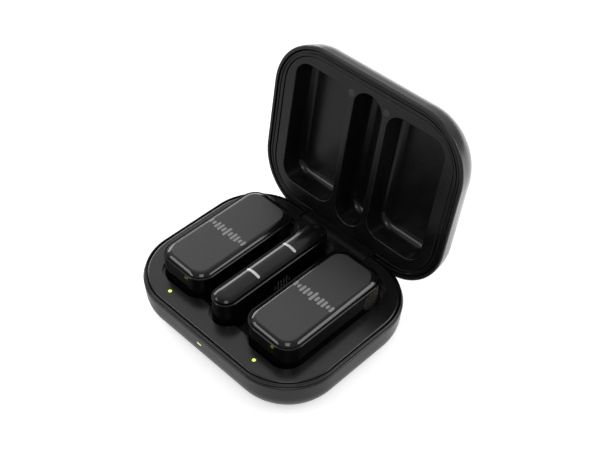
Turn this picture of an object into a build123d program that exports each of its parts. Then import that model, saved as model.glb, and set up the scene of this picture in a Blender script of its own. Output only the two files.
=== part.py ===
# Pocket charging case with two clip-on wireless transmitters and one plug-in receiver.
# Millimetres, +Z up. +X runs along the hinge, +Y from the front light to the hinge.
# Origin: the centre of the flat underside. The lid pieces are drawn closed, then turned
# open about the hinge pin.
from build123d import *
import math
import os

os.makedirs("parts", exist_ok=True)

# Case body; its width and depth follow from what it holds and these margins
side_margin = 8.6
tx_end_room = 18.2
rx_end_room = 14.9
corner_radius = 18.0
side_draft = 0.8
edge_round = 9.0
shell_wall = 1.2
lip_round = 0.5
fit_gap = 0.05
bore_gap = 0.02
screw_post_wall = 0.5

# Rim ring and deck of the base
ring_inset = 0.5
ring_width = 0.45
ring_height = 1.2
ring_round = 0.2
deck_inset = 1.3
deck_rise = 1.35
deck_thickness = 1.2
deck_crown_radius = 1000.0
deck_edge_round = 0.7
pocket_step_width = 0.7
pocket_step_depth = 1.0
pocket_wall = 0.9
neck_inset = 2.2
neck_round = 1.2

# Transmitters
tx_width = 19.0
tx_length = 40.4
tx_height = 10.0
tx_corner = 5.3
tx_spacing = 4.35
tx_centre_y = -0.5
tx_seat_depth = 3.05
tx_wall = 1.1
tx_rim_width = 0.45
rim_chamfer = 0.12
tx_seam = 0.3
tx_seam_depth = 0.6
tx_bevel_height = 1.1
tx_bevel_width = 1.5
tx_bevel_lift = 0.2
tx_crown_round = 2.6
tx_shoulder_round = 0.8
tx_bottom_round = 1.2
plug_in_depth = 0.7
plug_in_gap = 0.1
tx_front_gap = 1.3
tx_back_gap = 3.3
tx_outer_gap = 0.85
tx_inner_gap = 0.9
tx_pocket_corner = 6.5

# Clip under each transmitter
clip_width = 10.0
clip_thickness = 1.6
clip_corner = 3.0
clip_edge_round = 0.6
clip_drop = 2.8
clip_front_reach = 12.0
clip_tail_reach = 13.6
clip_pivot_y = 9.0
clip_pivot_drop = 1.4
clip_pin_radius = 0.6
clip_barrel_radius = 1.15
clip_neck_depth = 1.8
clip_swing = 7.0
clip_side_gap = 0.2
jaw_length = 3.0
jaw_inset = 2.6
jaw_gap = 0.25
jaw_tooth_pitch = 0.9
jaw_tooth_gap = 0.35
thumb_groove_pitch = 1.1
thumb_groove_width = 0.4
thumb_groove_depth = 0.25
lug_thickness = 1.2
lug_radius = 1.1
lug_spread = 7.6
well_side_gap = 1.2
well_end_gap = 1.3
well_corner = 2.0
swing_gap = 0.3
clip_spring_wire = 0.32
clip_spring_gap = 0.22
clip_spring_room = 1.7

# Microphone opening in the back end of each transmitter
mesh_top_gap = 0.6
mesh_bottom_gap = 1.4
mesh_reach = 10.5
mesh_depth = 0.5
capsule_radius = 2.0
capsule_height = 1.5
capsule_inset = 4.4
capsule_hole_radius = 0.5

# Receiver
rx_width = 8.3
rx_length = 43.7
rx_height = 12.4
rx_shoulder_rise = 0.5
rx_crown_rise = 1.7
rx_centre_y = -0.35
rx_seat_depth = 4.85
rx_bottom_round = 0.8
rx_wall = 0.9
rx_end_gap_front = 1.1
rx_end_gap_back = 2.5
rx_side_gap = 1.4
rx_well_gap = 0.3
light_offset_y = 7.3
light_width = 0.9
light_length = 5.1
light_depth = 0.6

# Plug and its sockets (the standard small reversible connector)
plug_width = 8.25
plug_height = 2.4
plug_reach = 6.5
plug_hold = 0.6
plug_wall = 0.3
plug_slot_width = 6.9
plug_slot_height = 0.95
plug_hole_gap = 0.3
plug_floor_gap = 0.9
plug_tip_gap = 0.25
socket_width = 8.34
socket_height = 2.56
socket_wall = 0.32
socket_tongue_width = 6.6
socket_tongue_height = 0.7
socket_tongue_drop = 1.6
inlet_length = 7.6
inlet_inset = 2.0
inlet_back_wall = 1.2
inlet_tongue_drop = 1.3
inlet_gap = 0.15

# Lid
lid_gap = 0.45
lid_draft = 1.4
lid_round = 9.8
lid_air = 0.37
frame_inset = 1.5
frame_gap = 0.15
frame_depth = 0.35
frame_thickness = 1.1
frame_edge_round = 0.12
frame_groove_inset = 2.3
frame_groove_width = 0.3
frame_groove_depth = 0.3
liner_inset = 4.0
liner_corner_step = 5.5
liner_depth = 0.5
liner_thickness = 0.9
liner_wall = 0.6
liner_groove = 0.2
liner_edge_round = 0.2
mouth_round = 0.25
recess_shift_x = 0.2
recess_clear_x = 1.0
recess_front_clear = 1.3
recess_back_clear = 0.7
recess_roof_clear = 0.5
recess_draft = 0.3
recess_round = 2.6
centre_clear_x = 1.25
centre_front_clear = 1.3
centre_back_clear = 0.9
centre_roof_clear = 0.35
centre_roof_wall = 0.48
lid_open_angle = 99.0
magnet_radius = 1.25
magnet_height = 1.6
magnet_offset_x = 2.45
magnet_offset_y = 1.2
base_magnet_shift = 1.1
magnet_cup_wall = 0.7
cap_thickness = 0.5
cap_proud = 0.05
cap_round = 0.15

# Hinge
hinge_inset = 1.9
barrel_cover = 0.25
pin_radius = 0.6
pin_clearance = 0.04
pin_end_inset = 0.1
tongue_half_length = 13.3
tongue_end_gap = 0.25
tongue_back_inset = 0.4
tongue_rise = 1.3
barrel_radius = 2.5
neck_face_inset = 0.55
slot_clearance = 0.22
spring_wire = 0.5
spring_radius = 1.25
spring_turns = 8
spring_room = 1.7
spring_room_half_length = 2.2
ear_gap = 0.05
ear_thickness = 2.4
ear_radius = 1.15
ear_back = 0.3
ear_clearance = 0.12
bracket_gap = 0.1
bracket_bar_height = 1.1
bracket_bar_depth = 2.2
bracket_inset_y = 1.6
bracket_screw_x = 9.0
bracket_post_half_width = 1.4

# Electronics and small parts
board_thickness = 0.8
board_floor_gap = 0.8
board_width = 10.0
board_back_inset = 8.3
board_front_inset = 11.3
board_corner = 1.0
board_screw_x = 3.0
board_screw_front = 3.0
board_screw_back = 7.0
board_screw_bite = 1.15
cell_side_gap = 1.2
cell_gap = 0.35
cell_floor_gap = 0.1
cell_length = 33.0
cell_width = 17.0
cell_corner = 1.2
tab_width = 3.0
tab_length = 1.2
tab_thickness = 0.5
tab_height = 0.9
screw_radius = 0.5
screw_gap = 0.05
screw_head_radius = 0.95
screw_head_height = 0.45
screw_head_sink = 0.02
screw_length = 3.4
cross_length = 1.4
cross_width = 0.24
cross_depth = 0.22
pogo_radius = 0.45
pogo_tip_radius = 0.27
pogo_length = 2.4
pogo_tip_length = 0.5
pogo_tip_gap = 0.04
pogo_pitch = 2.5
pogo_inset = 2.7
pad_radius = 0.9
pad_thickness = 0.3
led_strip_depth = 3.2
led_strip_thickness = 0.8
led_strip_reach = 2.5
led_strip_gap = 1.3
led_strip_rise = 1.6
lamp_half_width = 0.8
lamp_depth = 0.8
deck_led_inset = 5.0
deck_led_x = 17.9
deck_led_radius = 0.55
deck_led_round = 0.12
led_proud = 0.02
front_led_drop = 3.2
front_led_width = 1.7
front_led_height = 0.65
front_led_round = 0.25
front_led_reach = 0.9
front_led_gap = 0.04
status_led_x = 3.5
status_led_drop = 1.05
status_led_radius = 0.42
status_led_proud = 0.03
tx_board_rise = 1.2
tx_board_thickness = 0.7
tx_board_gap = 0.5
tx_battery_side_room = 5.5
tx_battery_end_room = 18.4
tx_battery_shift_y = 1.0
tx_battery_rise = 0.3
tx_battery_drop = 1.7
tx_battery_corner = 1.0
tx_battery_round = 0.4
rx_board_half = 0.4
rx_board_rise = 0.9
rx_board_end_gap = 3.4
rx_board_top_gap = 2.2

# A cut runs this far past the face that it opens, and a joined piece sinks in this far
past = 1.0
weld = 0.3


# ---------- sizes that follow from the driving ones ----------

sides = {"left": -1, "right": 1}
tx_offset_x = rx_width / 2 + tx_width / 2 + tx_spacing
case_width = 2 * (tx_offset_x + tx_width / 2 + side_margin)
case_depth = max(tx_length + tx_end_room, rx_length + rx_end_room)

board_low = shell_wall + board_floor_gap
board_top = board_low + board_thickness
rx_bottom = board_top + plug_reach + plug_floor_gap
deck_edge_height = rx_bottom + rx_seat_depth
base_height = deck_edge_height - deck_rise
deck_underside = deck_edge_height - deck_thickness
deck_crown_top = deck_edge_height + (case_width / 2 - deck_inset) ** 2 / (2 * deck_crown_radius)

tx_bottom = deck_edge_height - tx_seat_depth
tx_rim = tx_bottom + tx_height
tx_top = tx_rim + tx_bevel_height + tx_bevel_lift
tx_front = tx_centre_y - tx_length / 2
tx_back = tx_centre_y + tx_length / 2
tx_board_low = tx_bottom + tx_wall + tx_board_rise
tx_board_top = tx_board_low + tx_board_thickness
mesh_height = tx_height - mesh_top_gap - mesh_bottom_gap
pocket_back = tx_back + tx_back_gap
pocket_front = tx_front - tx_front_gap

rx_rim = rx_bottom + rx_height
rx_shoulder = rx_rim + rx_shoulder_rise
rx_crown = rx_rim + rx_crown_rise
rx_front = rx_centre_y - rx_length / 2
rx_back = rx_centre_y + rx_length / 2

clip_y = tx_centre_y + clip_pivot_y
clip_front = tx_centre_y - clip_front_reach
clip_tail = tx_centre_y + clip_tail_reach
clip_bottom = tx_bottom - clip_drop - clip_thickness
clip_top = clip_bottom + clip_thickness
clip_pivot_z = tx_bottom - clip_pivot_drop
clip_drop_open = (clip_front_reach + clip_pivot_y) * math.sin(math.radians(clip_swing))
well_floor = clip_bottom - clip_drop_open - swing_gap
cell_low = shell_wall + cell_floor_gap
cell_height = well_floor - pocket_wall - cell_gap - cell_low

lid_rim = deck_edge_height + lid_gap
frame_face = lid_rim + frame_depth
liner_face = lid_rim + liner_depth
liner_corner = corner_radius - liner_corner_step
recess_roof = tx_top + recess_roof_clear
centre_roof = rx_crown + centre_roof_clear
lid_top = centre_roof + centre_roof_wall + lid_air + shell_wall
lid_height = lid_top - lid_rim

hinge_y = case_depth / 2 - hinge_inset
hinge_z = deck_edge_height - barrel_radius - barrel_cover
neck_face_y = hinge_y - barrel_radius + neck_face_inset
tongue_back_y = case_depth / 2 - tongue_back_inset
tongue_top = lid_rim + tongue_rise
slot_half_length = tongue_half_length + tongue_end_gap
slot_floor = hinge_z - barrel_radius - slot_clearance
bracket_bar_low = slot_floor - bracket_gap - bracket_bar_height
bracket_bar_top = bracket_bar_low + bracket_bar_height
bracket_y = hinge_y - bracket_inset_y

board_front = board_front_inset - case_depth / 2
board_back = case_depth / 2 - board_back_inset
magnet_x = rx_width / 2 + magnet_offset_x
magnet_y = rx_front + magnet_offset_y
base_magnet_y = magnet_y - base_magnet_shift
deck_led_y = deck_led_inset - case_depth / 2
front_led_z = base_height - front_led_drop
led_strip_top = front_led_z + led_strip_rise
led_strip_front = shell_wall + led_strip_gap - case_depth / 2


# ---------- shared shapes ----------

def slab(width, depth, radius, low, high, x=0.0, y=0.0):
    outline = Pos(x, y, low) * RectangleRounded(width, depth, radius)
    return extrude(outline, amount=high - low)


def stadium(width, length, low, high, x=0.0, y=0.0):
    outline = Pos(x, y, low) * Rot(0, 0, 90) * SlotOverall(length, width)
    return extrude(outline, amount=high - low)


def block(x_low, x_high, y_low, y_high, z_low, z_high):
    size = Box(x_high - x_low, y_high - y_low, z_high - z_low)
    return Pos((x_low + x_high) / 2, (y_low + y_high) / 2, (z_low + z_high) / 2) * size


def rod_x(radius, x_low, x_high, y, z):
    return Pos((x_low + x_high) / 2, y, z) * Rot(0, 90, 0) * Cylinder(radius, x_high - x_low)


def rod_y(radius, y_low, y_high, x, z):
    return Pos(x, (y_low + y_high) / 2, z) * Rot(90, 0, 0) * Cylinder(radius, y_high - y_low)


def rod_z(radius, z_low, z_high, x, y):
    return Pos(x, y, (z_low + z_high) / 2) * Cylinder(radius, z_high - z_low)


def pebble(width, depth, radius, height, draft, rounding):
    # flat face at z = 0, narrowing upwards, with a large round around the top
    angle = math.degrees(math.atan(draft / height))
    body = extrude(RectangleRounded(width, depth, radius), amount=height, taper=angle)
    return fillet(body.faces().sort_by(Axis.Z)[-1].edges(), rounding)


def connector(width, height, length):
    # a stadium prism along +Z, its long side along X
    return extrude(SlotOverall(width, height), amount=length)


def coil(wire, mean_radius, turns, x, y, z):
    # close-wound spring about an X axis; neighbouring turns merge a little
    pitch = 0.9 * wire
    ring = Rot(0, 90, 0) * Torus(mean_radius, wire / 2)
    rings = [Pos(x + (i - (turns - 1) / 2) * pitch, y, z) * ring for i in range(turns)]
    return rings[0].fuse(*rings[1:])


def screw_down(x, y, head_top, bite):
    # a cross-head screw that reaches down by bite from its head's underside
    head_low = head_top - screw_head_height
    half_cross, half_width = cross_length / 2, cross_width / 2
    screw = rod_z(screw_radius, head_low - bite, head_low, x, y)
    screw += rod_z(screw_head_radius, head_low, head_top, x, y)
    screw -= block(x - half_cross, x + half_cross, y - half_width, y + half_width,
                   head_top - cross_depth, head_top + past)
    return screw - block(x - half_width, x + half_width, y - half_cross, y + half_cross,
                         head_top - cross_depth, head_top + past)


def flat_face(shape, height, tolerance=0.01):
    flat = [f for f in shape.faces() if abs(f.center().Z - height) < tolerance]
    return max(flat, key=lambda f: f.bounding_box().size.X)


def top_outer_edges(shape, height):
    return flat_face(shape, height).outer_wire().edges()


def edges_at(shape, height, tolerance=0.001):
    boxes = [(edge, edge.bounding_box()) for edge in shape.edges()]
    return [edge for edge, box in boxes
            if max(abs(box.min.Z - height), abs(box.max.Z - height)) < tolerance]


def write(name, shape):
    export_step(shape, f"parts/{name}.step")


# ---------- base ----------

def hinge_slot():
    # the space that the lid's tongue turns in, cut out of the base pieces
    half, grow = slot_half_length, slot_clearance
    y_out, z_out = case_depth / 2 + 3 * past, lid_rim + 3 * past
    barrel = rod_x(barrel_radius + grow, -half, half, hinge_y, hinge_z)
    neck = block(-half, half, neck_face_y - grow, y_out, hinge_z, z_out)
    behind = block(-half, half, hinge_y, y_out, slot_floor, z_out)
    return barrel + neck + behind


def usb_port(grow, y_low, y_high):
    width = socket_width + 2 * socket_wall + 2 * grow
    height = socket_height + 2 * socket_wall + 2 * grow
    centre_z = board_top + socket_height / 2 + socket_wall
    return Pos(0, y_low, centre_z) * Rot(-90, 0, 0) * connector(width, height, y_high - y_low)


def base_outer():
    bowl = pebble(case_width, case_depth, corner_radius, base_height, side_draft, edge_round)
    return Pos(0, 0, base_height) * Rot(180, 0, 0) * bowl


def base_inner():
    width = case_width - 2 * shell_wall
    depth = case_depth - 2 * shell_wall
    bowl = pebble(width, depth, corner_radius - shell_wall, base_height - shell_wall,
                  side_draft, edge_round - shell_wall)
    return Pos(0, 0, base_height) * Rot(180, 0, 0) * bowl


def make_base_shell():
    shell = base_outer() - base_inner()
    shell = fillet(top_outer_edges(shell, base_height), lip_round)
    for x, y in board_screw_places():
        shell += rod_z(screw_head_radius + screw_post_wall, shell_wall - weld, board_low, x, y)
        shell -= rod_z(screw_radius, board_low - board_screw_bite, board_low + past, x, y)
    for x, y in bracket_screw_places():
        half_x, half_y = bracket_post_half_width, bracket_bar_depth / 2
        post = block(x - half_x, x + half_x, y - half_y, y + half_y, shell_wall, bracket_bar_low)
        shell += post & base_outer()
        shell -= rod_z(screw_radius, bracket_bar_low - screw_length, bracket_bar_low + past, x, y)
    shell -= hinge_slot()
    for side in sides.values():
        x_low, x_high = ear_span(side)
        shell -= rod_x(ear_radius + ear_clearance, x_low - pin_end_inset, x_high + pin_end_inset,
                       hinge_y, hinge_z)
    shell -= usb_port(inlet_gap, case_depth / 2 - inlet_length, case_depth / 2 + past)
    return shell - front_led_body(front_led_gap)


def make_rim_ring():
    low, high = base_height, base_height + ring_height
    width, depth = case_width - 2 * ring_inset, case_depth - 2 * ring_inset
    radius = corner_radius - ring_inset
    ring = slab(width, depth, radius, low, high)
    ring -= slab(width - 2 * ring_width, depth - 2 * ring_width, radius - ring_width,
                 low - past, high + past)
    ring = fillet(top_outer_edges(ring, high), ring_round)
    return ring - hinge_slot()


def pocket_opening(grow):
    # plan of the three pockets where they run together, with necks rounded over
    outline = Sketch()
    for side in sides.values():
        x_inner = tx_offset_x - tx_width / 2 - tx_inner_gap - grow
        x_outer = tx_offset_x + tx_width / 2 + tx_outer_gap + grow
        y_low, y_high = pocket_front - grow, pocket_back + grow
        centre = Pos(side * (x_inner + x_outer) / 2, (y_low + y_high) / 2)
        outline += centre * RectangleRounded(x_outer - x_inner, y_high - y_low,
                                             tx_pocket_corner + grow)
    y_low = rx_front - rx_end_gap_front - grow
    y_high = rx_back + rx_end_gap_back + grow
    slot_width = rx_width + 2 * rx_side_gap + 2 * grow
    outline += Pos(0, (y_low + y_high) / 2) * Rot(0, 0, 90) * SlotOverall(y_high - y_low, slot_width)
    neck_low = pocket_front + neck_inset - grow
    neck_high = pocket_back - neck_inset + grow
    bridge = Pos(0, (neck_low + neck_high) / 2) * Rectangle(2 * tx_offset_x, neck_high - neck_low)
    outline += bridge
    corners = [v for v in outline.vertices() if is_neck_corner(v, neck_low, neck_high)]
    return fillet(corners, neck_round)


def is_neck_corner(vertex, neck_low, neck_high):
    on_edge = min(abs(vertex.Y - neck_low), abs(vertex.Y - neck_high)) < 0.001
    return on_edge and abs(vertex.X) < tx_offset_x - tx_width / 2 + tx_corner / 2


def receiver_well(grow, low, high):
    width = rx_width + 2 * rx_well_gap + 2 * grow
    length = rx_length + 2 * rx_well_gap + 2 * grow
    return stadium(width, length, low, high, 0, rx_centre_y)


def clip_well(side, grow, low, high):
    y_low = clip_front - well_end_gap - grow
    y_high = clip_tail + well_end_gap + grow
    width = clip_width + 2 * well_side_gap + 2 * grow
    return slab(width, y_high - y_low, well_corner + grow, low, high,
                side * tx_offset_x, (y_low + y_high) / 2)


def pogo_places(side):
    y = tx_front + pogo_inset
    return [(side * tx_offset_x + i * pogo_pitch, y) for i in (-1, 0, 1)]


def deck_plate():
    plate = slab(case_width - 2 * deck_inset, case_depth - 2 * deck_inset,
                 corner_radius - deck_inset, deck_underside, deck_crown_top + past)
    crown = Pos(0, 0, deck_crown_top - deck_crown_radius) * Sphere(deck_crown_radius)
    plate &= crown
    rim_edges = plate.faces().sort_by(Axis.Z)[-1].outer_wire().edges()
    return fillet(rim_edges, deck_edge_round)


def make_deck_tray():
    step_z = deck_edge_height - pocket_step_depth
    magnet_low = deck_underside - magnet_height
    bowl_outline = pocket_opening(pocket_wall - pocket_step_width)
    bowl_low = tx_bottom - pocket_wall
    tray = deck_plate()
    tray += extrude(Pos(0, 0, bowl_low) * bowl_outline, amount=deck_underside + weld - bowl_low)
    tray += receiver_well(pocket_wall, rx_bottom - pocket_wall, tx_bottom)
    for side in sides.values():
        tray += clip_well(side, pocket_wall, well_floor - pocket_wall, tx_bottom)
        tray += rod_z(magnet_radius + magnet_cup_wall, magnet_low, deck_underside + weld,
                      side * magnet_x, base_magnet_y)
    tray -= extrude(Pos(0, 0, step_z) * pocket_opening(0), amount=tx_height)
    tray -= extrude(Pos(0, 0, tx_bottom) * pocket_opening(-pocket_step_width), amount=tx_height)
    tray -= receiver_well(0, rx_bottom, tx_bottom + past)
    tray -= plug_place(rx_bottom - pocket_wall - past) * connector(
        plug_width + 2 * plug_hole_gap, plug_height + 2 * plug_hole_gap, pocket_wall + 2 * past)
    for side in sides.values():
        tray -= clip_well(side, 0, well_floor, tx_bottom + past)
        tray -= rod_z(magnet_radius + fit_gap, magnet_low - past, deck_underside,
                      side * magnet_x, base_magnet_y)
        tray -= rod_z(deck_led_radius + bore_gap, well_floor, deck_crown_top + past,
                      side * deck_led_x, deck_led_y)
        for x, y in pogo_places(side):
            tray -= rod_z(pogo_radius + bore_gap, tx_bottom - pogo_length, tx_bottom + past, x, y)
    return tray - hinge_slot()


def make_base_magnets():
    low = deck_underside - magnet_height
    discs = [rod_z(magnet_radius, low, deck_underside, side * magnet_x, base_magnet_y)
             for side in sides.values()]
    return Compound(discs)


def make_pogo_pins(side):
    pins = []
    shoulder = tx_bottom - pogo_tip_length
    for x, y in pogo_places(side):
        barrel = rod_z(pogo_radius, tx_bottom - pogo_length, shoulder, x, y)
        pins.append(barrel + rod_z(pogo_tip_radius, shoulder, tx_bottom - pogo_tip_gap, x, y))
    return Compound(pins)


def make_deck_led(side):
    top = deck_crown_top - (deck_led_x ** 2 + deck_led_y ** 2) / (2 * deck_crown_radius)
    pipe = rod_z(deck_led_radius, led_strip_top, top + led_proud, side * deck_led_x, deck_led_y)
    return fillet(pipe.faces().sort_by(Axis.Z)[-1].edges(), deck_led_round)


def front_led_body(grow):
    # starts flush with the drafted front wall and reaches through it to the lamp
    width, height = front_led_width + 2 * grow, front_led_height + 2 * grow
    wall_inset = side_draft * (base_height - front_led_z) / base_height
    front = wall_inset - case_depth / 2
    return block(-width / 2, width / 2, front - led_proud, front + shell_wall + front_led_reach + grow,
                 front_led_z - height / 2, front_led_z + height / 2)


def make_front_led_lens():
    lens = front_led_body(0)
    return fillet(lens.edges().filter_by(Axis.Y), front_led_round)


def make_led_strip():
    # narrow circuit strip behind the front wall that carries the three lights
    half = deck_led_x + led_strip_reach
    low = led_strip_top - led_strip_thickness
    strip = block(-half, half, led_strip_front, led_strip_front + led_strip_depth, low, led_strip_top)
    lamp_low = front_led_z - front_led_height / 2
    return strip + block(-lamp_half_width, lamp_half_width, led_strip_front,
                         led_strip_front + lamp_depth, lamp_low, low)


def ear_span(side):
    inner = slot_half_length + ear_gap
    low, high = sorted((side * inner, side * (inner + ear_thickness)))
    return low, high


def bracket_screw_places():
    return [(-bracket_screw_x, bracket_y), (bracket_screw_x, bracket_y)]


def make_hinge_bracket():
    half = slot_half_length + ear_gap + ear_thickness
    y_low, y_high = bracket_y - bracket_bar_depth / 2, bracket_y + bracket_bar_depth / 2
    bracket = block(-half, half, y_low, y_high, bracket_bar_low, bracket_bar_top)
    for side in sides.values():
        x_low, x_high = ear_span(side)
        foot = block(x_low, x_high, hinge_y - ear_radius, hinge_y + ear_back,
                     bracket_bar_low, hinge_z)
        bracket += foot & base_inner()
        bracket += rod_x(ear_radius, x_low, x_high, hinge_y, hinge_z)
        bracket -= rod_x(pin_radius, x_low - past, x_high + past, hinge_y, hinge_z)
    seat = bracket_bar_top - screw_head_sink - screw_head_height
    for x, y in bracket_screw_places():
        bracket -= rod_z(screw_radius + screw_gap, bracket_bar_low - past, slot_floor + past, x, y)
        bracket -= rod_z(screw_head_radius + screw_gap, seat, slot_floor + past, x, y)
    return bracket


def make_bracket_screws():
    top = bracket_bar_top - screw_head_sink
    return Compound([screw_down(x, y, top, screw_length - screw_head_height)
                     for x, y in bracket_screw_places()])


def make_hinge_pin():
    half = ear_span(1)[1] - pin_end_inset
    return rod_x(pin_radius, -half, half, hinge_y, hinge_z)


def board_screw_places():
    return [(-board_screw_x, board_front + board_screw_front),
            (board_screw_x, board_back - board_screw_back)]


def make_case_board():
    length = board_back - board_front
    board = slab(board_width, length, board_corner, board_low, board_top,
                 0, (board_front + board_back) / 2)
    chip = block(-2.6, 2.6, board_front + 5.4, board_front + 10.6, board_top, board_top + 0.9)
    coil_block = block(-3.6, -0.8, board_back - 13.0, board_back - 10.2, board_top, board_top + 1.2)
    first = board_back - 14.4
    capacitors = [block(1.2, 2.2, first + 1.6 * i, first + 1.6 * i + 0.8, board_top, board_top + 0.6)
                  for i in range(3)]
    board += [chip, coil_block] + capacitors
    for x, y in board_screw_places():
        board -= rod_z(screw_radius + screw_gap, board_low - past, board_top + past, x, y)
    return board


def make_board_screws():
    top = board_top + screw_head_height
    return Compound([screw_down(x, y, top, board_thickness + board_screw_bite)
                     for x, y in board_screw_places()])


def make_case_cells():
    cells = []
    tab_low = shell_wall + tab_height
    for side in sides.values():
        x_mid = side * (board_width / 2 + cell_side_gap + cell_width / 2)
        body = slab(cell_width, cell_length, cell_corner, cell_low, cell_low + cell_height, x_mid, 0)
        tab = block(x_mid - tab_width / 2, x_mid + tab_width / 2, cell_length / 2,
                    cell_length / 2 + tab_length, tab_low, tab_low + tab_thickness)
        cells.append(body + tab)
    return Compound(cells)


def make_receiver_socket():
    top = rx_bottom - pocket_wall
    width, height = socket_width + 2 * socket_wall, socket_height + 2 * socket_wall
    place = plug_place(board_top)
    cavity_low = rx_bottom - plug_reach - plug_tip_gap - board_top
    socket = place * connector(width, height, top - board_top)
    socket -= place * Pos(0, 0, cavity_low) * connector(socket_width, socket_height, top)
    tongue_height = rx_bottom - socket_tongue_drop - board_top
    tongue = Box(socket_tongue_width, socket_tongue_height, tongue_height)
    return socket + place * Pos(0, 0, tongue_height / 2) * tongue


def make_usb_c_inlet():
    centre_z = board_top + socket_height / 2 + socket_wall
    place = Pos(0, case_depth / 2 - inlet_inset, centre_z) * Rot(90, 0, 0)
    inlet = place * connector(socket_width + 2 * socket_wall, socket_height + 2 * socket_wall,
                              inlet_length)
    inlet -= place * connector(socket_width, socket_height, inlet_length - inlet_back_wall)
    tongue_length = inlet_length - inlet_tongue_drop - weld
    tongue = Box(socket_tongue_width, socket_tongue_height, tongue_length)
    return inlet + place * Pos(0, 0, inlet_tongue_drop + tongue_length / 2) * tongue


# ---------- lid, drawn closed ----------

def open_lid(shape):
    hinge_line = Axis((0, hinge_y, hinge_z), (1, 0, 0))
    return shape.rotate(hinge_line, -lid_open_angle)


def tongue_space():
    half = tongue_half_length + fit_gap
    return block(-half, half, neck_face_y - fit_gap, case_depth / 2 + past, hinge_z,
                 tongue_top + fit_gap)


def lid_outer():
    dome = pebble(case_width, case_depth, corner_radius, lid_height, lid_draft, lid_round)
    return Pos(0, 0, lid_rim) * dome


def lid_inner():
    dome = pebble(case_width - 2 * shell_wall, case_depth - 2 * shell_wall,
                  corner_radius - shell_wall, lid_height - shell_wall, lid_draft,
                  lid_round - shell_wall)
    return Pos(0, 0, lid_rim) * dome


def make_lid_shell():
    shell = lid_outer() - lid_inner()
    shell = fillet(top_outer_edges(shell, lid_rim), lip_round)
    return shell - tongue_space()


def frame_slab(inset, radius, low, high):
    return slab(case_width - 2 * inset, case_depth - 2 * inset, radius, low, high)


def make_lid_frame():
    # a flat ring with one fine groove, between the lid's wall and the lining
    low, high = frame_face, frame_face + frame_thickness
    outer_inset = frame_inset + frame_gap
    groove_end = frame_groove_inset + frame_groove_width
    frame = frame_slab(outer_inset, corner_radius - outer_inset, low, high)
    frame -= frame_slab(liner_inset - liner_groove, liner_corner + liner_groove,
                        low - past, high + past)
    groove = frame_slab(frame_groove_inset, corner_radius - frame_groove_inset,
                        low - past, low + frame_groove_depth)
    groove -= frame_slab(groove_end, corner_radius - groove_end, low - 2 * past, high)
    frame -= groove
    frame = fillet(edges_at(frame, low), frame_edge_round)
    return frame - tongue_space()


def side_recess(side, grow, low):
    width = tx_width + 2 * recess_clear_x + 2 * grow
    y_low = tx_front - recess_front_clear - grow
    y_high = tx_back + recess_back_clear + grow
    cup = pebble(width, y_high - y_low, tx_corner + grow, recess_roof + grow - low,
                 recess_draft, recess_round + grow)
    return Pos(side * (tx_offset_x - recess_shift_x), (y_low + y_high) / 2, low) * cup


def centre_recess(grow, roof, low):
    width = rx_width + 2 * centre_clear_x + 2 * grow
    y_low = rx_front - centre_front_clear - grow
    y_high = rx_back + centre_back_clear + grow
    cup = pebble(width, y_high - y_low, width / 2 - 0.01, roof - low, recess_draft,
                 recess_round + grow)
    return Pos(0, (y_low + y_high) / 2, low) * cup


def make_lid_liner():
    liner = frame_slab(liner_inset, liner_corner, liner_face, liner_face + liner_thickness)
    liner += centre_recess(liner_wall, centre_roof + centre_roof_wall, liner_face)
    for side in sides.values():
        liner += side_recess(side, liner_wall, liner_face)
    liner -= centre_recess(0, centre_roof, liner_face)
    for side in sides.values():
        liner -= side_recess(side, 0, liner_face)
    face = flat_face(liner, liner_face)
    mouths = [edge for wire in face.inner_wires() for edge in wire.edges()]
    liner = fillet(mouths, mouth_round)
    liner = fillet(top_outer_edges(liner, liner_face), liner_edge_round)
    magnet_top = liner_face + cap_thickness + magnet_height + fit_gap
    for side in sides.values():
        liner -= rod_z(magnet_radius + bore_gap, liner_face - past, magnet_top,
                       side * magnet_x, magnet_y)
    return liner - tongue_space()


def make_lid_magnets():
    low = liner_face + cap_thickness
    return Compound([rod_z(magnet_radius, low, low + magnet_height, side * magnet_x, magnet_y)
                     for side in sides.values()])


def make_magnet_caps():
    caps = []
    for side in sides.values():
        cap = rod_z(magnet_radius, liner_face - cap_proud, liner_face + cap_thickness,
                    side * magnet_x, magnet_y)
        caps.append(fillet(cap.faces().sort_by(Axis.Z)[0].edges(), cap_round))
    return Compound(caps)


def make_hinge_tongue():
    half = tongue_half_length
    tongue = rod_x(barrel_radius, -half, half, hinge_y, hinge_z)
    tongue += block(-half, half, neck_face_y, tongue_back_y, hinge_z, tongue_top)
    tongue &= block(-half, half, 0, tongue_back_y, 0, lid_top)
    tongue -= rod_x(pin_radius + pin_clearance, -half - past, half + past, hinge_y, hinge_z)
    return tongue - rod_x(spring_room, -spring_room_half_length, spring_room_half_length,
                          hinge_y, hinge_z)


def make_hinge_spring():
    return coil(spring_wire, spring_radius, spring_turns, 0, hinge_y, hinge_z)


# ---------- transmitters ----------

def tx_slab(x, inset, low, high):
    return slab(tx_width - 2 * inset, tx_length - 2 * inset, tx_corner - inset, low, high,
                x, tx_centre_y)


def mesh_band(x, outer_inset, inner_inset):
    # the band around the back end, with round ends on both long sides
    low, high = tx_bottom + mesh_bottom_gap, tx_rim - mesh_top_gap
    x_low, x_high = x - tx_width, x + tx_width
    start = tx_centre_y + mesh_reach + mesh_height / 2
    band = tx_slab(x, outer_inset, low, high) - tx_slab(x, inner_inset, low - past, high + past)
    reach = block(x_low, x_high, start, tx_back + past, low, high)
    reach += rod_x(mesh_height / 2, x_low, x_high, start, (low + high) / 2)
    return band & reach


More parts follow.
